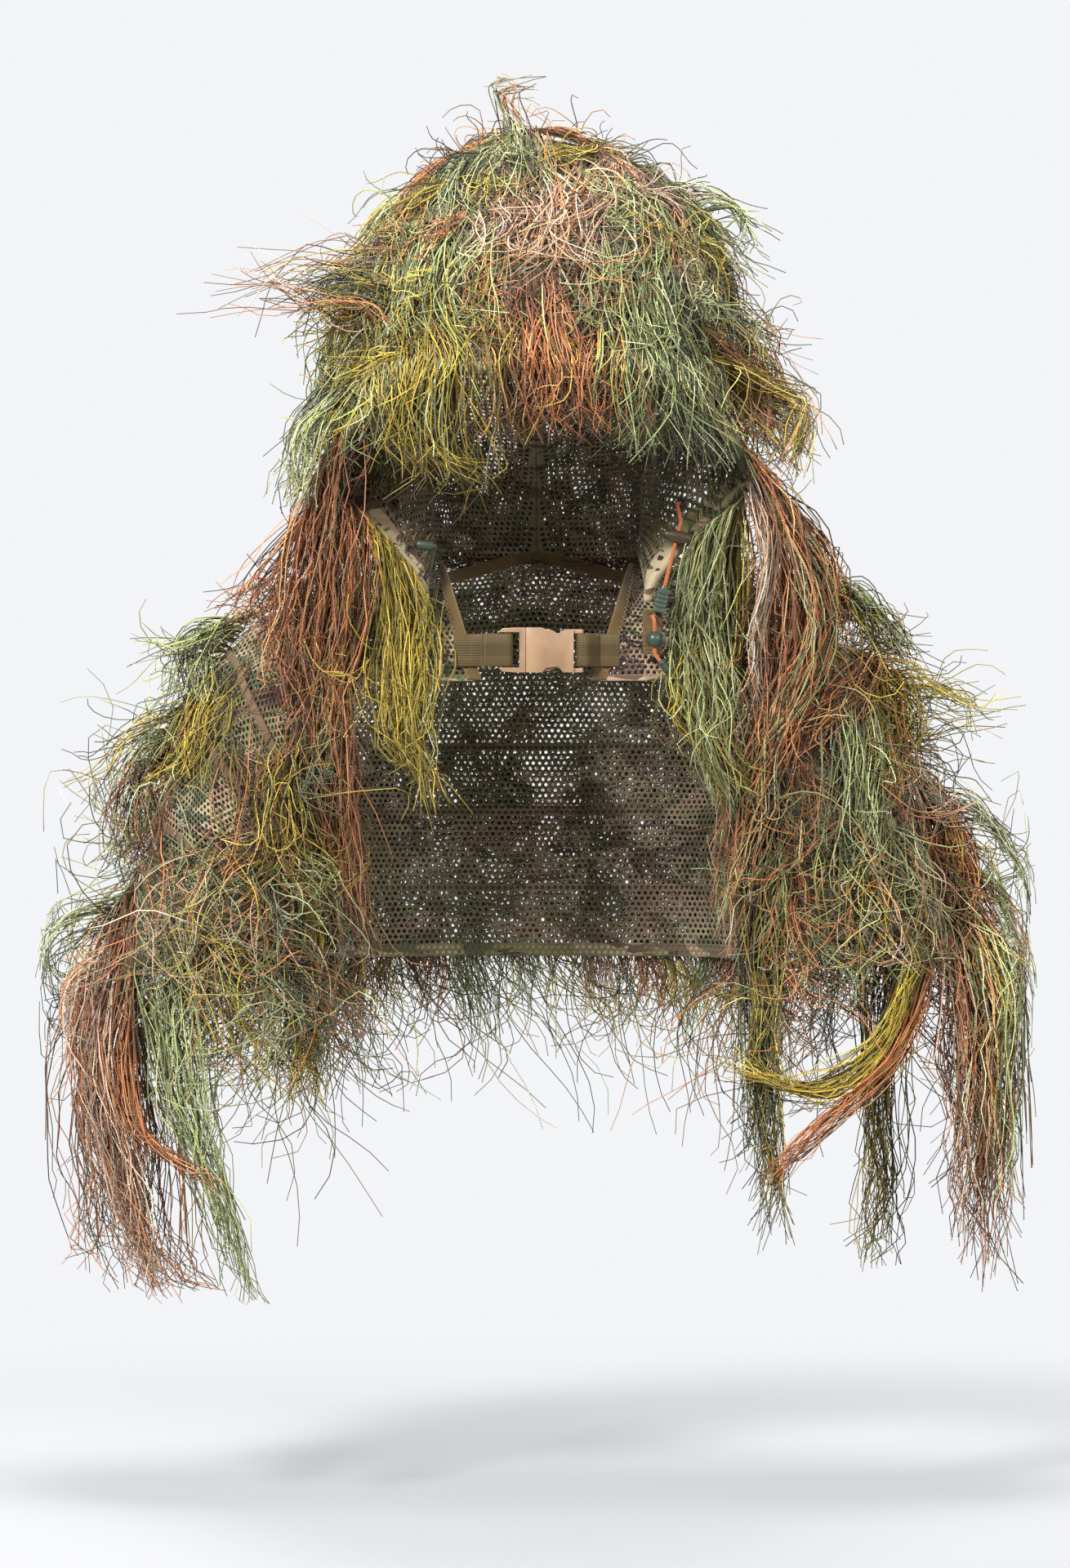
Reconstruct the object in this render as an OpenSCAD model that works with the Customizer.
// Hooded sniper veil: a mesh over-jacket with a hood, cords, a chest buckle and thread garnish.
// Frame: millimetres, +Z up, the wearer faces -Y, +X is the wearer's left.
// Origin: centre of the hang loop's bore at the back of the neck.

/* [Fabric] */
// Thickness of the mesh fabric shells
fabric_t = 2; // [1.6:0.1:2.4]
// Thickness of woven tapes and bindings
tape_t = 1; // [0.8:0.1:1.2]
// Width of the elastic garnish tapes
garnish_w = 6; // [5:0.5:7]

/* [Hood] */
// Height of the crown
crown_z = 336; // [330:1:342]
// How far the brim stands in front of the hang loop
brim_reach = 265; // [260:1:270]
// Outer radius of the sewn drawcord channel
channel_r = 4; // [3.9:0.1:4.4]

/* [Jacket] */
// Height of the front hem
front_hem_z = -84; // [-88:1:-80]
// Height of the back hem
back_hem_z = -300; // [-320:1:-280]
// Height of the hem of the wearer's right sleeve
hem_right_z = -307; // [-315:1:-300]
// Height of the hem of the wearer's left sleeve
hem_left_z = -286; // [-300:1:-280]
// Width of the front edge bindings
binding_w = 11; // [9:0.5:13]

/* [Chest buckle] */
// Width of the chest webbing
web_w = 25; // [25:0.5:26]
// Thickness of the chest webbing
web_t = 1.6; // [1.4:0.1:1.8]
// Overall height of the buckle
buckle_h = 34; // [34:0.5:36]
// Thickness of the buckle
buckle_t = 9; // [8.6:0.2:9.6]
// Height of the buckle's centre line
buckle_z = -61; // [-63:1:-59]

/* [Cords] */
// Diameter of the elastic drawcord
cord_d = 3; // [2.8:0.1:3.2]
// Travel of the cord lock plungers
press = 3; // [2:0.5:3]

/* [Hang loop] */
// Bore radius of the hang loop
loop_r = 10; // [9:0.5:11]
// Width of the hang loop webbing
loop_w = 10; // [9:0.5:11]

/* [Hidden] */
$fn = 48;

cord_r = cord_d / 2;
seam_half = 5;             // half width of the seam tapes

coyote = [0.42, 0.31, 0.14];
mesh_c = [0.55, 0.48, 0.36];
buckle_c = [0.72, 0.58, 0.42];
dark_c = [0.16, 0.18, 0.15];
plunger_c = [0.2, 0.21, 0.19];
barrel_c = [0.26, 0.2, 0.12];
barrel_plunger_c = [0.24, 0.19, 0.12];
orange_c = [0.85, 0.42, 0.16];
rust_c = [0.55, 0.24, 0.11];
olive_c = [0.47, 0.42, 0.12];
sage_c = [0.45, 0.53, 0.38];
straw_c = [0.75, 0.58, 0.45];
moss_c = [0.19, 0.23, 0.12];

// ---------- vectors and curves ----------
function unit(v) = v / norm(v);
function mix(a, b, f) = a + (b - a) * f;
function mirror_point(p) = [-p[0], p[1], p[2]];
module mirror_x() mirror([1, 0, 0]) children();
function clamp_index(i, n) = max(0, min(n - 1, i));
// Catmull-Rom value of the list of stations at real index x
function spline(stations, x) =
  let (n = len(stations), i = clamp_index(floor(x), n - 1), f = x - i,
       a = stations[clamp_index(i - 1, n)], b = stations[i],
       c = stations[clamp_index(i + 1, n)], d = stations[clamp_index(i + 2, n)])
  0.5 * (2 * b + (c - a) * f + (2 * a - 5 * b + 4 * c - d) * f * f
         + (3 * b - a - 3 * c + d) * f * f * f);
function bezier(a, b, c, d, s) =
  a * pow(1 - s, 3) + b * 3 * s * pow(1 - s, 2) + c * 3 * s * s * (1 - s) + d * pow(s, 3);

// ---------- hood surface ----------
// One row per station up the hood. Rows 0 to 8 end at the opening edge, rows 8 to 15 at the
// centre front. Columns: back z, edge z, back y, side half width, edge x, edge y, and the x, y
// of the control point that leads in to the edge.
hood_table = [
  [16, -23, 9, 78, 83, -155, 80, -132],
  [28, -3, 12, 79, 88, -156, 81, -135],
  [42, 20, 18, 80, 105, -158, 87, -138],
  [60, 43, 24, 82, 127, -165, 98, -146],
  [82, 69, 29, 88, 152, -180, 122, -156],
  [108, 100, 32, 106, 145, -205, 150, -168],
  [136, 132, 35, 132, 110, -240, 150, -206],
  [152, 150, 36, 146, 60, 7 - brim_reach, 120, -245],
  [158, 156, 36, 149, 0, -brim_reach, 82, -brim_reach],
  [190, 190, 36, 154, 0, -250, 85, -250],
  [235, 235, 32, 142, 0, -226, 78, -226],
  [272, 272, 20, 120, 0, -199, 66, -199],
  [302, 302, -4, 88, 0, -168, 48, -168],
  [321, 321, -27, 56, 0, -140, 31, -140],
  [332, 332, -45, 29, 0, -118, 16, -118],
  [crown_z, crown_z, -58, 0, 0, -104, 0, -104]];
brim_row = 8;
top_row = 15;
centre_gap = 0.2;          // distance of each hood half from the centre plane
hood_mid_y = -70;          // y of the widest point, up to row 10
// u runs from the centre back (0) round the wearer's left to the edge or centre front (1)
function hood_point(u, row) =
  let (s = spline(hood_table, row), half_w = max(0, s[3]),
       mid_y = row > 10 ? hood_mid_y - 2 * (row - 10) : hood_mid_y,
       z = mix(s[0], s[1], pow(u, 5)))
  u <= 0.5
    ? [centre_gap + half_w * sin(180 * u), mid_y + (s[2] - mid_y) * cos(180 * u), z]
    : let (p = bezier([half_w, mid_y], [half_w, mid_y + 0.55 * (s[5] - mid_y)],
                      [s[6], s[7]], [max(0, s[4]), s[5]], 2 * u - 1))
      [centre_gap + p[0], p[1], z];
function hood_normal(u, row) =
  let (u0 = max(0, u - 0.01), u1 = min(1, u + 0.01),
       r0 = max(0, row - 0.1), r1 = min(top_row, row + 0.1))
  unit(cross(hood_point(u, r1) - hood_point(u, r0), hood_point(u1, row) - hood_point(u0, row)));

// ---------- armhole and sleeve surface (wearer's left, +X) ----------
// Angle: 0 shoulder top, 90 front, 180 armpit, 270 back
armpit_z = -190;
function armhole(angle) =
  [174, -53, -108.5] + cos(angle) * [14, -2, 81.5] + sin(angle) * [0, -74, 10];
// k runs from the armhole (0) to the hem (1)
function sleeve_point(angle, k, hem_z) =
  let (top = armhole(angle) + [2.2, 0, 0],
       middle = [218, -48, -150] + cos(angle) * [58, -2, 104] + sin(angle) * [0, -95, 0],
       hem = [245, -36, hem_z] + cos(angle) * [79, 2, -5] + sin(angle) * [0, -84, 0])
  top * pow(1 - k, 2) + middle * 2 * k * (1 - k) + hem * k * k;
function sleeve_normal(angle, k, hem_z) =
  let (k0 = max(0, k - 0.02), k1 = min(1, k + 0.02))
  unit(cross(sleeve_point(angle + 1, k, hem_z) - sleeve_point(angle - 1, k, hem_z),
             sleeve_point(angle, k1, hem_z) - sleeve_point(angle, k0, hem_z)));

// ---------- neck and shoulder line ----------
neck_half = 78;            // half width of the neck edge
neck_depth = 68;           // from the neck centre to the back of the neck edge
neck_y = -60;              // y of the neck centre
// f runs along the shoulder from the neck (0) to the armhole (1)
function shoulder_x(f) = neck_half + 110 * f;
function shoulder_z(f) = 3 - 30 * pow(f, 1.3);

// ---------- back panel surface ----------
// a: 0 at the centre, 1 at the wearer's left side, -1 at the right.
// t: 0 at the neck and shoulder, 1 at chest height, 2 at the armpit, 3 at the hem.
// Columns for t = 1, 2, 3: side x, side y, centre y, z
back_table = [
  [174, 21, 50, -118],
  [160, -51, 52, armpit_z],
  [156, -45, 46, back_hem_z]];
neck_share = 0.42;         // part of a taken up by the neck edge
function back_top(a) =
  a < neck_share
    ? let (q = a / neck_share * 90)
      [neck_half * sin(q), neck_y + neck_depth * cos(q), 12 - 9 * sin(q)]
    : let (f = (a - neck_share) / (1 - neck_share)) [shoulder_x(f), neck_y + 4 * f, shoulder_z(f)];
function back_side(t) =
  t <= 2 ? armhole(-90 * t) : armhole(180) + (t - 2) * [-4, 6, back_hem_z - armpit_z];
function back_base(a, t) =
  let (s = t <= 1 ? back_table[0]
         : t <= 2 ? mix(back_table[0], back_table[1], t - 1)
         : mix(back_table[1], back_table[2], t - 2),
       low = [s[0] * pow(sin(90 * a), 0.9),
              s[1] + (s[2] - s[1]) * pow(max(0, cos(90 * a)), 0.8), s[3]],
       top = back_top(a))
  t >= 1 ? low
         : [mix(top[0], low[0], t), mix(top[1], low[1], sin(90 * t)),
            mix(top[2], low[2], 1 - cos(90 * t))];
// The base surface, pulled out to meet the armhole and side line
function back_point(a, t) =
  let (b = abs(a), p = back_base(b, t) + pow(b, 4) * (back_side(t) - back_base(1, t)))
  a < 0 ? mirror_point(p) : p;
function back_normal(a, t) =
  let (a0 = max(-1, a - 0.03), a1 = min(1, a + 0.03), t0 = max(0, t - 0.04), t1 = min(3, t + 0.04))
  unit(cross(back_point(a1, t) - back_point(a0, t), back_point(a, t1) - back_point(a, t0)));

// ---------- front panel surface (wearer's left) ----------
// a: 0 at the front edge, 1 at the armhole. t: 0 at the shoulder, 1 at the hem.
// Front edge, top to bottom: x, y, z
front_edge = [[72, -95, 8], [69, -118, -4], [63, -145, -28], [55, -163, -56],
  [46, -172, front_hem_z]];
function front_inner(t) = spline(front_edge, 4 * t);
function front_outer(t) =
  let (p = armhole(80 * t)) [p[0], p[1] - 1.5 * (1 - t), p[2] + t * (front_hem_z + 84.5)];
function front_top(a) =
  a < 0.3 ? mix(front_edge[0], [neck_half, -64, 3], a / 0.3)
          : let (f = (a - 0.3) / 0.7) [shoulder_x(f), -64 + 7.5 * f, shoulder_z(f)];
function front_hem(a) = [46 + 130.4 * a, -172 + 45.8 * pow(a, 1.9), front_hem_z];
// Coons patch between the four border curves
function front_point(a, t) =
  (1 - t) * front_top(a) + t * front_hem(a) + (1 - a) * front_inner(t) + a * front_outer(t)
  - ((1 - a) * (1 - t) * front_top(0) + a * (1 - t) * front_top(1)
     + (1 - a) * t * front_hem(0) + a * t * front_hem(1));
function front_normal(a, t) =
  let (a0 = max(0, a - 0.03), a1 = min(1, a + 0.03), t0 = max(0, t - 0.03), t1 = min(1, t + 0.03))
  unit(cross(front_point(a, t1) - front_point(a, t0), front_point(a1, t) - front_point(a0, t)));

// ---------- solids from surfaces ----------
// A thin shell between two grids of points. wrap joins the last column to the first.
module shell(outer, inner, wrap = false) {
  n = len(outer);
  m = len(outer[0]);
  cols = [0:(wrap ? m : m - 1) - 1];
  rows = [0:n - 2];
  e = n - 1;
  function o(i, j) = i * m + (j % m);
  function q(i, j) = n * m + o(i, j);
  polyhedron(concat([for (r = outer) each r], [for (r = inner) each r]), concat(
    [for (i = rows, j = cols)
      each [[o(i, j), o(i, j + 1), o(i + 1, j)], [o(i, j + 1), o(i + 1, j + 1), o(i + 1, j)]]],
    [for (i = rows, j = cols)
      each [[q(i, j), q(i + 1, j), q(i, j + 1)], [q(i, j + 1), q(i + 1, j), q(i + 1, j + 1)]]],
    [for (j = cols) each [[o(0, j), q(0, j), o(0, j + 1)], [q(0, j), q(0, j + 1), o(0, j + 1)]]],
    [for (j = cols) each [[o(e, j), o(e, j + 1), q(e, j)], [q(e, j), o(e, j + 1), q(e, j + 1)]]],
    wrap ? [] : [for (i = rows)
      each [[o(i, 0), o(i + 1, 0), q(i, 0)], [q(i, 0), o(i + 1, 0), q(i + 1, 0)]]],
    wrap ? [] : [for (i = rows)
      each [[o(i, m - 1), q(i, m - 1), o(i + 1, m - 1)],
            [q(i, m - 1), q(i + 1, m - 1), o(i + 1, m - 1)]]]
  ));
}
// A rod or tape: a convex section carried along a list of rings of points
module rings(list) {
  n = len(list);
  m = len(list[0]);
  polyhedron([for (r = list) each r], concat(
    [for (i = [0:n - 2], j = [0:m - 1])
      each [[i * m + j, i * m + (j + 1) % m, (i + 1) * m + j],
            [i * m + (j + 1) % m, (i + 1) * m + (j + 1) % m, (i + 1) * m + j]]],
    [[for (j = [m - 1:-1:0]) j]], [[for (j = [0:m - 1]) (n - 1) * m + j]]));
}
// Rings of m points round a path; ref is the vector each ring is squared up to
function tube(path, r, m, ref) = [for (i = [0:len(path) - 1])
  let (d = unit(path[min(len(path) - 1, i + 1)] - path[max(0, i - 1)]),
       a = unit(cross(d, ref)), b = cross(d, a))
  [for (q = [0:m - 1]) path[i] + r * (cos(360 * q / m) * a + sin(360 * q / m) * b)]];
// Tape stations are [centre, width direction, outward normal, half width]
module tape(stations, t) rings([for (s = stations)
  let (w = s[1] * s[3], h = s[2] * t / 2) [s[0] + w - h, s[0] + w + h, s[0] - w + h, s[0] - w - h]]);
function mirror_stations(stations) =
  [for (s = stations) [mirror_point(s[0]), -mirror_point(s[1]), mirror_point(s[2]), s[3]]];
module tape_pair(stations) {
  tape(stations, tape_t);
  tape(mirror_stations(stations), tape_t);
}
// Stations of a tape on a surface (point P, normal N) from a to b in n steps, standing off it.
// An optional tail hangs from the end and swings outward.
function lay(P, N, a, b, off, half_w, n, tail = 0, swing = 0) =
  let (normals = [for (i = [0:n]) let (g = a + (b - a) * i / n) N(g[0], g[1])],
       pts = [for (i = [0:n]) let (g = a + (b - a) * i / n) P(g[0], g[1]) + off * normals[i]],
       dirs = [for (i = [0:n]) unit(pts[min(n, i + 1)] - pts[max(0, i - 1)])],
       flat = unit([normals[n][0], normals[n][1], 0.001]),
       across = cross(flat, [0, 0, -1]),
       body = [for (i = [0:n]) [pts[i], unit(cross(normals[i], dirs[i])), normals[i], half_w]])
  tail == 0 ? body : concat(body, [for (s = [0.35, 1])
    [pts[n] + flat * (swing * s) - [0, 0, tail * s], across, flat, half_w * (1 - 0.25 * s)]]);
module coil(r, wire_r, length, turns) {
  n = 12 * turns;
  rings([for (i = [0:n])
    let (a = 30 * i, c = [r * cos(a), r * sin(a), wire_r + (length - 2 * wire_r) * i / n])
    [for (q = [0:72:288]) c + wire_r * [cos(a) * cos(q), sin(a) * cos(q), sin(q)]]]);
}

// ---------- hood ----------
hood_rows = concat([for (j = [0:0.5:brim_row]) j], [for (j = [brim_row + 1:top_row]) j]);
hood_cols = [for (i = [0:18]) i / 18];
// The mirrored points are mirrored back, which reverses the winding of the faces
module hood_half() {
  outer = [for (j = hood_rows) [for (u = hood_cols) mirror_point(hood_point(u, j))]];
  // The inner grid is kept clear of the centre plane
  inner = [for (j = hood_rows) [for (u = hood_cols)
    let (p = hood_point(u, j) - fabric_t * hood_normal(u, j),
         on_seam = u == 0 || (u == 1 && j >= brim_row))
    mirror_point([max(on_seam ? centre_gap : 0.3, p[0]), p[1], p[2]])]];
  mirror_x() shell(outer, inner);
}
module hood_side_left() { color(mesh_c) hood_half(); }
module hood_side_right() { color(mesh_c) mirror_x() hood_half(); }
// Seam tape on the centre plane, from the brim over the crown to the back of the neck
function seam_station(u, row) =
  let (p = hood_point(u, row), v = hood_normal(u, row), n = unit([0, v[1], v[2]]))
  [[0, p[1], p[2]] + n * (1.2 + tape_t / 2), [1, 0, 0], n, seam_half];
module hood_seam_tape() {
  color(coyote) tape(concat(
    [for (j = [8.3, 9, 10, 11, 12, 13, 14, 14.8]) seam_station(1, j)],
    [for (j = [14.6, 14, 13, 12, 11, 10, 9, 8, 6, 4, 2, 0.8]) seam_station(0, j)]), tape_t);
}

// The opening edge, from the wearer's left tip over the brim to the right tip
channel_off = channel_r + 1.6;
function edge_at(row) = hood_point(1, row);
// Direction off the edge of the fabric, square to the edge
function edge_dir(row) =
  let (along = unit(edge_at(min(brim_row, row + 0.1)) - edge_at(max(0, row - 0.1))),
       away = unit(edge_at(row) - hood_point(0.97, row)) + unit(edge_at(row) - edge_at(row + 0.3)))
  unit(away - (away * along) * along);
edge_half = [for (j = [0, 0.5, 1, 1.5, 2, 2.5, 3, 3.5, 4, 4.4, 4.8, 5.2, 5.6, 6, 6.5, 7, 7.5])
  edge_at(j) + edge_dir(j) * channel_off];
edge_mid = [0, edge_at(brim_row)[1] - 1, edge_at(brim_row)[2] - channel_off];
edge_line = concat(edge_half, [edge_mid],
  [for (i = [len(edge_half) - 1:-1:0]) mirror_point(edge_half[i])]);
edge_ref = [0, -1, 0.01];
module hood_edge_channel() {
  color(mesh_c)
    shell(tube(edge_line, channel_r, 10, edge_ref), tube(edge_line, channel_r - 1.2, 10, edge_ref),
      true);
}
module hood_drawcord() {
  inner_line = [for (i = [1:len(edge_line) - 2]) edge_line[i]];
  color(orange_c) rings(tube(inner_line, cord_r, 6, edge_ref));
}

// ---------- hood cord, eyelets and locks ----------
// On the wearer's left the cord leaves an eyelet, passes the barrel lock and ends in a clip
lock_pos = [106.5, -176, 25];
lock_tilt = 14;
clip_s = 51;               // distance of the end clip below the lock, along the cord
function lock_line(s) = lock_pos + s * [-sin(lock_tilt), 0, -cos(lock_tilt)];
module along_cord() translate(lock_pos) rotate([0, lock_tilt, 0]) children();
eye_pos = hood_point(0.9, 3);
eye_dir = -hood_normal(0.9, 3);
// The eyelet stands on the inner face of the hood
module eyelet()
  translate(eye_pos + eye_dir * (fabric_t + 0.3))
  rotate([0, acos(eye_dir[2]), atan2(eye_dir[1], eye_dir[0])])
  difference() {
    union() {
      cylinder(h = 1.1, r = 5);
      cylinder(h = 2.2, r = 3.4);
    }
    translate([0, 0, -1]) cylinder(h = 5, r = 2.2);
  }
module hood_eyelets() {
  color(coyote) {
    eyelet();
    mirror_x() eyelet();
  }
}
module hood_drawcord_tail() {
  path = [eye_pos + eye_dir * (fabric_t + 0.4), eye_pos + eye_dir * 7,
    eye_pos + eye_dir * 9 + [1, -8, -2], lock_line(-10) + [0, 2, 0], lock_line(-7),
    lock_line(clip_s + 1)];
  color(orange_c) rings(tube(path, cord_r, 12, [1, 0, 0]));
}

// Cord locks: a body cross-bored for the cord along Z, and a sprung plunger along local +X
module on_x(from) rotate([0, 90, 0]) translate([0, 0, from]) children();
module cord_bore(clear, reach) translate([0, 0, -reach]) cylinder(h = 2 * reach, r = cord_r + clear);
// The plunger's hole is lengthened by its travel
module cord_slot(travel, reach) {
  cord_bore(0.4, reach);
  translate([travel, 0, 0]) cord_bore(0.4, reach);
  translate([0, -cord_r - 0.4, -reach]) cube([travel, cord_d + 0.8, 2 * reach]);
}
// back and seat: how far the body and the plunger reach behind the cord
module lock_body(r, length, back) {
  difference() {
    on_x(-back) cylinder(h = length, r = r);
    on_x(-back + 1.4) cylinder(h = length, r = r - 1.35);
    cord_bore(0.6, 20);
  }
}
module lock_plunger(r, tip, seat) {
  difference() {
    union() {
      on_x(-seat) cylinder(h = seat + tip - 1.2, r = r - 1.4);
      on_x(tip - 1.2) cylinder(h = 1.2, r1 = r - 1.4, r2 = r - 2.2);
    }
    cord_slot(press, 20);
  }
}
module lock_spring(r, back, seat) on_x(-back + 1.5) coil(r, 0.25, back - 1.5 - seat - 0.1, 4);

barrel_r = 5;
barrel_back = 10;
barrel_seat = 3;
module at_barrel() along_cord() rotate([0, 0, 180]) children();
module barrel_lock_body() { color(barrel_c) at_barrel() lock_body(barrel_r, 16, barrel_back); }
module barrel_lock_plunger() {
  color(barrel_plunger_c) at_barrel() lock_plunger(barrel_r, 10, barrel_seat);
}
module barrel_lock_spring() {
  color("silver") at_barrel() lock_spring(2.6, barrel_back, barrel_seat);
}
module cord_end_clip() {
  color(dark_c) along_cord() translate([0, 0, -clip_s]) difference() {
    union() {
      translate([-4.6, -3.6, -8]) cube([9.2, 7.2, 18]);
      translate([0, 0, 9.9]) cylinder(h = 2.6, r = 3.2);
    }
    translate([0, 0, -2]) cylinder(h = 30, r = cord_r + 0.05);
    // Grip grooves across the front face
    for (z = [-5:3.4:6]) translate([-6, -3.7, z]) cube([12, 0.7, 1]);
  }
}

// A smaller lock on the wearer's right
far_r = 3.8;
far_back = 7;
far_seat = 2.6;
module at_far() translate([-84, -160, 19]) rotate([0, 6, 0]) children();
module far_lock_body() { color(dark_c) at_far() lock_body(far_r, 12, far_back); }
module far_lock_plunger() { color(plunger_c) at_far() lock_plunger(far_r, 8, far_seat); }
module far_lock_spring() { color("silver") at_far() lock_spring(1.7, far_back, far_seat); }

// ---------- jacket ----------
module back_panel() {
  as = [for (i = [-11:11]) i / 11];
  ts = concat([for (i = [0:8]) i / 8], [for (i = [1:4]) 1 + i / 4], [for (i = [1:3]) 2 + i / 3]);
  color(mesh_c) shell([for (t = ts) [for (a = as) back_point(a, t)]],
    [for (t = ts) [for (a = as) back_point(a, t) - fabric_t * back_normal(a, t)]]);
}
module front_half() {
  g = [for (i = [0:10]) i / 10];
  shell([for (a = g) [for (t = g) front_point(a, t)]],
    [for (a = g) [for (t = g) front_point(a, t) - fabric_t * front_normal(a, t)]]);
}
module front_panel_left() { color(mesh_c) front_half(); }
module front_panel_right() { color(mesh_c) mirror_x() front_half(); }
// A ring of sleeve from k0 to k1, its outer face standing off the sleeve surface
module sleeve_shell(hem_z, k0, k1, n, off, t) {
  function grid(o) = [for (i = [0:n]) let (k = k0 + (k1 - k0) * i / n) [for (f = [0:15:345])
    sleeve_point(-f, k, hem_z) + o * sleeve_normal(-f, k, hem_z)]];
  shell(grid(off), grid(off - t), true);
}
module sleeve(hem_z) sleeve_shell(hem_z, 0, 1, 10, 0, fabric_t);
module sleeve_hem(hem_z) sleeve_shell(hem_z, 0.955, 1, 1, 1.6, tape_t);
module sleeve_left() { color(mesh_c) sleeve(hem_left_z); }
module sleeve_right() { color(mesh_c) mirror_x() sleeve(hem_right_z); }
module sleeve_hem_left() { color(coyote) sleeve_hem(hem_left_z); }
module sleeve_hem_right() { color(coyote) mirror_x() sleeve_hem(hem_right_z); }

// Seam tape round the back of the neck, standing just inside the neck edge
neck_in = 3.4;
module neck_seam_tape() {
  color(coyote) tape([for (i = [10:-1:-10]) let (q = 9 * i)
    [[(neck_half - neck_in) * sin(q), neck_y + (neck_depth - neck_in) * cos(q),
      loop_r + 7.4 - (loop_r + 9.9) * abs(sin(q))],
     [0, 0, 1], unit([sin(q) / neck_half, cos(q) / neck_depth, 0]), seam_half]], tape_t);
}
module shoulder_tapes() {
  color(coyote) tape_pair([for (i = [0:6]) let (f = 0.12 + 0.86 * i / 6)
    [[shoulder_x(f), -61.6 + 5 * f, shoulder_z(f) + 2.2],
     [0, 1, 0], unit([0.34 * pow(f, 0.3), 0, 1]), seam_half]]);
}
// The hang loop is a ring of webbing with its axis along Y
module hang_loop() {
  color(coyote) rotate([90, 0, 0]) translate([0, 0, -loop_w / 2]) difference() {
    cylinder(h = loop_w, r = loop_r + web_t);
    translate([0, 0, -1]) cylinder(h = loop_w + 2, r = loop_r);
  }
}
binding_line = [for (i = [0:10])
  let (t = 0.02 + 0.98 * i / 10, n = front_normal(0, t), p = front_point(0, t),
       w = unit(front_point(0.05, t) - p))
  [p + w * (binding_w / 2 - 4.5) + n * 1.1, w, n, binding_w / 2]];
module edge_binding_left() { color(coyote) tape(binding_line, tape_t); }
module edge_binding_right() { color(coyote) tape(mirror_stations(binding_line), tape_t); }

// ---------- chest strap and side release buckle ----------
// Drawn in plan round the buckle's centre. The female half is on the wearer's left.
buckle_y = -180;           // middle of the buckle's thickness
half_h = buckle_h / 2;
mouth_x = -8;              // female half: mouth, socket end and frame end
socket_x = 26;
frame_x = 36;
mouth_half = 13.6;         // half height of the socket's mouth
bar_r = 1.8;               // round bars that hold the webbing
female_bar_x = 33.8;
male_bar_x = -22;
root_z = 10.9;             // height of a latch arm's root from the centre line
module at_buckle() translate([0, buckle_y, buckle_z]) children();
// A plate with its outline in XZ
module plate(pts, t) rotate([90, 0, 0]) linear_extrude(height = t, center = true) polygon(pts);
module buckle_female() {
  x = mouth_x;
  h = half_h;
  color(buckle_c) at_buckle() {
    difference() {
      plate([[x, -h], [x, h], [x + 12, h], [x + 15, h - 3.4], [x + 25, h - 4.4],
        [x + 29, h - 1.4], [socket_x + 2, h - 1.4], [socket_x + 2, -h], [x + 28, -h],
        [x + 24, -h + 4.4], [x + 15, -h + 3.4], [x + 12, -h]], buckle_t);
      // Socket, then the side windows
      translate([x - 1, -3, -mouth_half]) cube([socket_x - x - 1.5, 6, 2 * mouth_half]);
      for (z = [-h - 1, mouth_half - 3])
        translate([x + 12.6, -3, z]) cube([12.6, 6, h + 4 - mouth_half]);
    }
    // Frame rails and webbing bar
    for (z = [-h, h - 4.4])
      translate([socket_x + 1, -2.6, z]) cube([frame_x - socket_x - 2.4, 5.2, 3]);
    translate([female_bar_x, 0, -h + 0.4]) cylinder(h = buckle_h - 2, r = bar_r);
  }
}
module buckle_male() {
  x = mouth_x;
  h = half_h;
  color(buckle_c) at_buckle() {
    difference() {
      plate([[x - 0.4, -h], [x - 0.4, h], [x - 8, h], [x - 18, h - 0.6], [x - 20.5, h - 3],
        [x - 20.5, -h + 3], [x - 18, -h + 0.6], [x - 8, -h]], 8);
      // Webbing window, then the pockets for the latch arm roots
      translate([x - 25, -5, -13.4]) cube([19.8, 10, 26.8]);
      for (s = [-1, 1]) translate([x - 3, -2.3, s * root_z - 2.1]) cube([4, 4.6, 4.2]);
    }
    translate([male_bar_x, 0, -13.6]) cylinder(h = 27.2, r = bar_r);
    // Centre tongue with a round tip
    translate([x - 0.6, -2.4, -3.6]) cube([17, 4.8, 7.2]);
    translate([x + 16.4, 0, 0]) rotate([90, 0, 0]) translate([0, 0, -2.4])
      cylinder(h = 4.8, r = 3.6);
  }
}
// Latch arm, rooted in the male half, with a thumb face in the side window.
// side is 1 for the upper arm and -1 for the lower.
module latch(side) {
  x = mouth_x;
  outline = [[x - 2.6, root_z - 1.6], [x - 2.6, root_z + 1.6], [x + 12.9, mouth_half - 0.5],
    [x + 13.1, half_h - 1.4], [x + 17, half_h - 0.9], [x + 21, half_h - 2.6],
    [x + 23.6, mouth_half - 1], [x + 24, mouth_half - 3.4], [x + 19, root_z - 2.4]];
  at_buckle() plate([for (p = outline) [p[0], side * p[1]]], 4.2);
}
module latch_arm_upper() { color(buckle_c) latch(1); }
module latch_arm_lower() { color(buckle_c) latch(-1); }

// Webbing: a band of even thickness along a path in plan, folded round a bar
fold_r = bar_r + 0.5 + web_t / 2;   // radius of the middle of the fold
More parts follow.
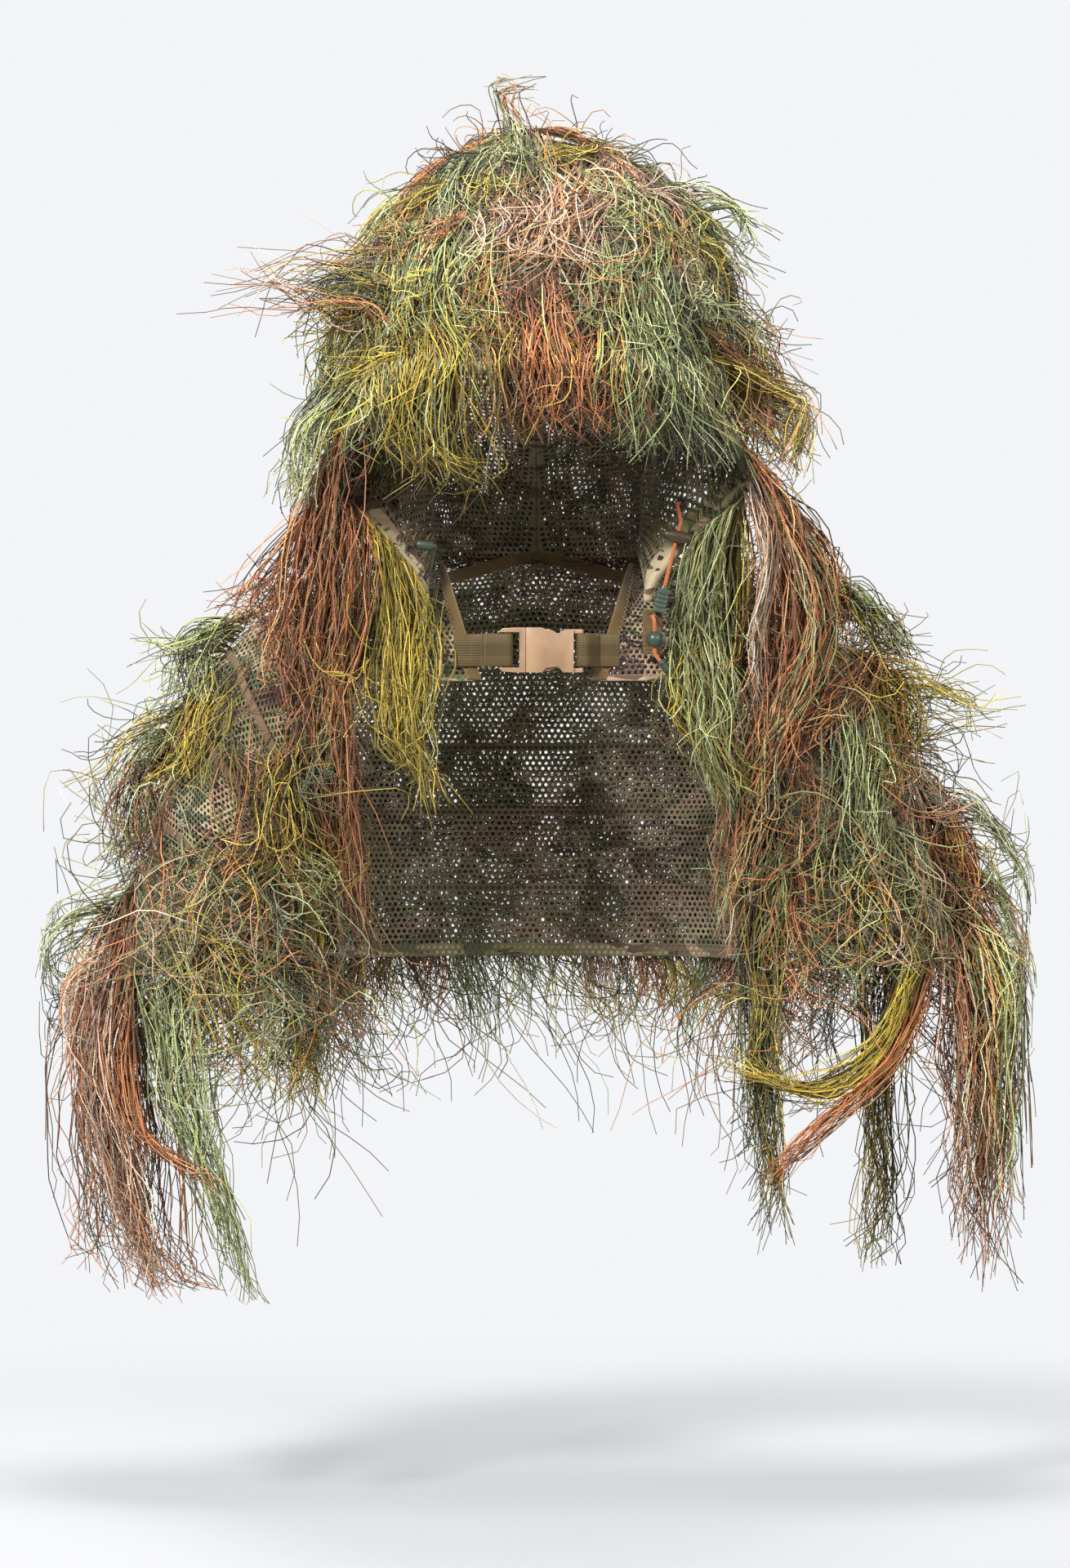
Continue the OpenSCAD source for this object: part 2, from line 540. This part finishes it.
// The path's point i moved sideways by d, mitred at bends
function beside(path, i, d) =
  let (n = len(path) - 1, a = path[max(0, i - 1)], b = path[i], c = path[min(n, i + 1)],
       u = i == 0 ? unit(c - b) : unit(b - a), v = i == n ? unit(b - a) : unit(c - b),
       m = unit(u + v), k = max(0.5, m * u))
  b + [-m[1], m[0]] * (d / k);
function arc(x, angles) = [for (q = angles) [x + fold_r * cos(q), fold_r * sin(q)]];
module band(path) linear_extrude(height = web_w, center = true)
  polygon(concat([for (i = [0:len(path) - 1]) beside(path, i, web_t / 2)],
    [for (i = [len(path) - 1:-1:0]) beside(path, i, -web_t / 2)]));
// The straps are named as seen from the front: right is +X, left is -X
module chest_strap_right() {
  color(coyote) at_buckle() band(concat([[63, 8], [48, 8], [36.5, fold_r + 0.3]],
    arc(female_bar_x, [90:15:270]), [[38, -fold_r], [46, 5.2]]));
}
module chest_strap_left() {
  color(coyote) at_buckle() band(concat([[-63, 8], [-49.5, 8], [-37.5, fold_r + 0.4]],
    arc(male_bar_x, [90:-15:-90]), arc(-38, [270:-15:150])));
}

// ---------- tab and ball lock on the wearer's left front ----------
tab_x = 88;
tab_w = 15;
tab_z = -64;               // bottom of the tab
tab_hole = 29;             // height of the cord hole above it
ball_pos = [89.5, -180, -53];
ball_press = min(press, 1.5);
module anchor_tab() {
  color(coyote) translate([tab_x - tab_w / 2, -169.5, tab_z]) difference() {
    cube([tab_w, 1.4, 34]);
    translate([tab_w / 2, -1, tab_hole]) rotate([-90, 0, 0]) cylinder(h = 4, r = 2.1);
  }
}
module tab_lock_body() {
  color(dark_c) translate(ball_pos) difference() {
    sphere(r = 6.5);
    on_x(-3.6) cylinder(h = 12, r = 3.6);
    cord_bore(0.6, 10);
    translate([-7, -7.2, 3]) cube([14, 2, 1.2]);
  }
}
module tab_lock_plunger() {
  color(plunger_c) translate(ball_pos) difference() {
    on_x(-1.95) cylinder(h = 10.6, r = 3.54);
    cord_slot(ball_press, 10);
  }
}
module tab_lock_spring() {
  color("silver") translate(ball_pos) on_x(-3.55) coil(2.6, 0.22, 1.55, 2);
}
// The cord runs from behind the tab through its hole and the ball to the bell
bell_start = [90.4, ball_pos[1], -65];
bell_run = [5.1, 0, -6.8];
tab_path = [[tab_x, -164.5, tab_z + tab_hole], [tab_x, -171.5, tab_z + tab_hole],
  [88.4, -177, -36.3], [89.2, -179.6, -38.8], [ball_pos[0], ball_pos[1], -41.4],
  [ball_pos[0], ball_pos[1], -61], bell_start, bell_start + bell_run];
module tab_cord() { color(orange_c) rings(tube(tab_path, cord_r, 10, [1, 0, 0])); }
module tab_cord_bell() {
  color(dark_c) translate(bell_start) rotate([0, 180 - atan2(bell_run[0], -bell_run[2]), 0])
  translate([0, 0, 5.2]) difference() {
    union() {
      cylinder(h = 9.5, r = 3);
      translate([0, 0, 1.5]) cylinder(h = 1.4, r = 3.5);
    }
    translate([0, 0, -1]) cylinder(h = 5.2, r = cord_r + 0.05);
  }
}

// ---------- garnish tapes ----------
// Surfaces as values: P gives the point and N the normal
hood_P = function (u, row) hood_point(u, row);
hood_N = function (u, row) hood_normal(u, row);
back_P = function (a, t) back_point(a, t);
back_N = function (a, t) back_normal(a, t);
front_P = function (a, t) front_point(a, t);
front_N = function (a, t) front_normal(a, t);
left_P = function (f, k) sleeve_point(f, k, hem_left_z);
left_N = function (f, k) sleeve_normal(f, k, hem_left_z);
right_P = function (f, k) sleeve_point(f, k, hem_right_z);
right_N = function (f, k) sleeve_normal(f, k, hem_right_z);
garnish_off = 1.4 + tape_t / 2;
function garnish(P, N, a, b, n, extra = 0) = lay(P, N, a, b, garnish_off + extra, garnish_w / 2, n);
module hood_garnish_tapes() {
  // start u, end u, row
  color(straw_c) for (r = [[0.62, 0.94, 9.2], [0.6, 0.93, 10.3], [0.12, 0.46, 9.6],
      [0.1, 0.48, 7], [0.55, 0.92, 11.6], [0.14, 0.46, 11.2]])
    tape_pair(garnish(hood_P, hood_N, [r[0], r[2]], [r[1], r[2]], 7));
}
module jacket_garnish_tapes() {
  color(straw_c) {
    for (t = [0.55, 1.2, 1.9, 2.5])
      tape(garnish(back_P, back_N, [-0.86, t], [0.86, t], 14), tape_t);
    tape_pair(garnish(front_P, front_N, [0.34, 0.42], [0.9, 0.42], 5));
    tape_pair(garnish(front_P, front_N, [0.42, 0.8], [0.92, 0.8], 5));
  }
}
module sleeve_tapes(P, N) for (k = [0.3, 0.52, 0.74])
  tape(garnish(P, N, [-120, k], [120, k], 12, 0.9), tape_t);
module sleeve_left_garnish_tapes() { color(straw_c) sleeve_tapes(left_P, left_N); }
module sleeve_right_garnish_tapes() { color(straw_c) mirror_x() sleeve_tapes(right_P, right_N); }

// ---------- garnish threads ----------
// Hanks lie in four layers, 1 nearest the fabric.
// Each hank: start u, start row, end u, end row, half width, tail length, tail swing;
// on the jacket u and row are a and t, on the sleeves the angle and k.
hank_t = 3;
module hanks(P, N, layer, list) for (h = list)
  tape(lay(P, N, [h[0], h[1]], [h[2], h[3]], 6.5 + 7 * (layer - 1), h[4], 4, h[5], h[6]), hank_t);
module hood_hanks(layer, list) hanks(hood_P, hood_N, layer, list);
module front_hanks(layer, list) hanks(front_P, front_N, layer, list);
module back_hanks(layer, list) hanks(back_P, back_N, layer, list);
module hood_threads_rust() {
  color(rust_c) {
    hood_hanks(1, [[0.7, 13, 0.74, 11.4, 16, 0, 0], [0.52, 9.4, 0.53, 6.4, 18, 60, 10],
      [0.2, 11.8, 0.2, 9.6, 20, 0, 0], [0.3, 8, 0.3, 5.6, 18, 0, 0]]);
    mirror_x() hood_hanks(1, [[0.66, 13, 0.7, 11.4, 16, 0, 0], [0.5, 8.6, 0.5, 6.6, 18, 90, 14],
      [0.2, 11.4, 0.2, 9.2, 20, 0, 0], [0.34, 8, 0.34, 5.6, 18, 0, 0]]);
    hood_hanks(2, [[0.86, 9.6, 0.97, 8.4, 14, 50, 6]]);
    // Tuft standing on the crown
    tape([[[0, -80, 341], [0, -1, 0], [1, 0, 0], 14],
      [[-5, -80, 367], [0, -1, 0], [1, 0, 0], 8]], hank_t);
  }
}
module hood_threads_olive() {
  color(olive_c) {
    hood_hanks(2, [[0.6, 9, 0.62, 7.2, 18, 50, 16], [0.4, 11.4, 0.4, 9.4, 20, 0, 0],
      [0.1, 8.4, 0.1, 6, 16, 0, 0]]);
    mirror_x() hood_hanks(3, [[0.84, 9.6, 0.9, 8.3, 16, 50, 8]]);
    mirror_x() hood_hanks(2, [[0.6, 10.4, 0.6, 8.4, 18, 0, 0], [0.4, 10.8, 0.4, 8.6, 20, 0, 0],
      [0.1, 8.8, 0.1, 6.2, 16, 0, 0]]);
  }
}
module hood_threads_sage() {
  color(sage_c) {
    hood_hanks(3, [[0.72, 9.6, 0.72, 7.6, 18, 60, 26], [0.5, 12, 0.5, 10.4, 24, 0, 0],
      [0.28, 10.4, 0.28, 8.4, 20, 0, 0]]);
    mirror_x() hood_hanks(3, [[0.66, 9.4, 0.66, 7.6, 20, 50, 24],
      [0.5, 11.8, 0.5, 10, 24, 0, 0], [0.28, 10, 0.28, 8, 20, 0, 0]]);
  }
}
module hood_threads_tan() {
  color(straw_c) {
    hood_hanks(4, [[0.9, 11.6, 0.92, 9.8, 14, 0, 0], [0.4, 9.6, 0.4, 8, 14, 0, 0]]);
    mirror_x() hood_hanks(4, [[0.88, 11.4, 0.9, 10, 14, 0, 0], [0.4, 9.6, 0.4, 8, 14, 0, 0]]);
  }
}
module jacket_threads_rust() {
  color(rust_c) {
    front_hanks(1, [[0.86, 0.3, 0.86, 0.98, 14, 130, 10]]);
    mirror_x() front_hanks(1, [[0.72, 0.3, 0.72, 0.98, 18, 160, 10]]);
    back_hanks(1, [for (a = [-0.6, -0.1, 0.5]) [a, 1.25, a, 1.85, 22, 0, 0]]);
    back_hanks(1, [for (a = [-0.5, 0, 0.5]) [a, 2.35, a, 3, 22, 140, 0]]);
  }
}
module jacket_threads_olive() {
  color(olive_c) {
    front_hanks(2, [[0.64, 0.34, 0.62, 0.98, 16, 90, 0]]);
    mirror_x() front_hanks(2, [[0.44, 0.34, 0.4, 0.98, 17, 70, 0]]);
    back_hanks(2, [for (a = [-0.55, 0.2]) [a, 0.6, a, 1.2, 24, 0, 0]]);
    back_hanks(2, [for (a = [-0.35, 0.35]) [a, 1.95, a, 2.9, 22, 80, 0]]);
  }
}
module jacket_threads_sage() {
  color(sage_c) {
    front_hanks(3, [[0.5, 0.36, 0.57, 0.98, 15, 80, 0]]);
    mirror_x() front_hanks(3, [[0.86, 0.4, 0.86, 0.98, 15, 60, 0]]);
    back_hanks(3, [for (a = [-0.2, 0.6]) [a, 0.7, a, 1.3, 24, 0, 0]]);
    back_hanks(3, [for (a = [-0.52, 0.05]) [a, 1.7, a, 2.8, 22, 60, 0]]);
  }
}
module jacket_threads_dark() {
  color(moss_c) back_hanks(4, [[-0.6, 1.9, -0.6, 2.9, 20, 170, 0],
    [0.6, 1.9, 0.6, 2.9, 20, 170, 0], [-0.15, 1.3, -0.15, 2, 24, 0, 0]]);
}
// tail is the length of the tail that hangs past the hem
module sleeve_rust(P, N, tail) hanks(P, N, 1, [[-8, 0.34, -8, 0.6, 18, 0, 0],
  [34, 0.36, 40, 0.6, 16, 0, 0], [-70, 0.35, -70, 0.6, 18, 0, 0],
  [-2, 0.72, -2, 0.97, 20, tail, 44], [84, 0.7, 84, 0.97, 16, 90, 4],
  [-100, 0.72, -100, 0.97, 20, 150, 0]]);
module sleeve_olive(P, N, tail) hanks(P, N, 2, [[58, 0.3, 58, 0.56, 18, 0, 0],
  [-36, 0.3, -36, 0.56, 18, 0, 0], [52, 0.66, 56, 0.95, 18, 70, 0],
  [-60, 0.66, -60, 0.95, 20, tail, 10]]);
module sleeve_sage(P, N, tail) hanks(P, N, 3, [[14, 0.3, 14, 0.55, 20, 0, 0],
  [90, 0.4, 92, 0.62, 16, 0, 0], [-90, 0.3, -90, 0.56, 20, 0, 0],
  [24, 0.68, 26, 0.96, 22, tail, 14], [112, 0.7, 112, 0.95, 16, 120, 0]]);
module sleeve_left_threads_rust() { color(rust_c) sleeve_rust(left_P, left_N, 205); }
module sleeve_left_threads_olive() { color(olive_c) sleeve_olive(left_P, left_N, 130); }
module sleeve_left_threads_sage() { color(sage_c) sleeve_sage(left_P, left_N, 195); }
module sleeve_right_threads_rust() {
  color(rust_c) mirror_x() sleeve_rust(right_P, right_N, 248);
}
module sleeve_right_threads_olive() {
  color(olive_c) mirror_x() sleeve_olive(right_P, right_N, 130);
}
module sleeve_right_threads_sage() {
  color(sage_c) mirror_x() sleeve_sage(right_P, right_N, 230);
}

hood_side_left();
hood_side_right();
hood_seam_tape();
hood_edge_channel();
hood_drawcord();
hood_drawcord_tail();
hood_eyelets();
back_panel();
front_panel_left();
front_panel_right();
sleeve_left();
sleeve_right();
sleeve_hem_left();
sleeve_hem_right();
neck_seam_tape();
shoulder_tapes();
hang_loop();
edge_binding_left();
edge_binding_right();
chest_strap_left();
chest_strap_right();
buckle_female();
buckle_male();
latch_arm_upper();
latch_arm_lower();
barrel_lock_body();
barrel_lock_plunger();
barrel_lock_spring();
cord_end_clip();
far_lock_body();
far_lock_plunger();
far_lock_spring();
anchor_tab();
tab_cord();
tab_lock_body();
tab_lock_plunger();
tab_lock_spring();
tab_cord_bell();
hood_garnish_tapes();
jacket_garnish_tapes();
sleeve_left_garnish_tapes();
sleeve_right_garnish_tapes();
hood_threads_rust();
hood_threads_olive();
hood_threads_sage();
hood_threads_tan();
jacket_threads_rust();
jacket_threads_olive();
jacket_threads_sage();
jacket_threads_dark();
sleeve_left_threads_rust();
sleeve_left_threads_olive();
sleeve_left_threads_sage();
sleeve_right_threads_rust();
sleeve_right_threads_olive();
sleeve_right_threads_sage();
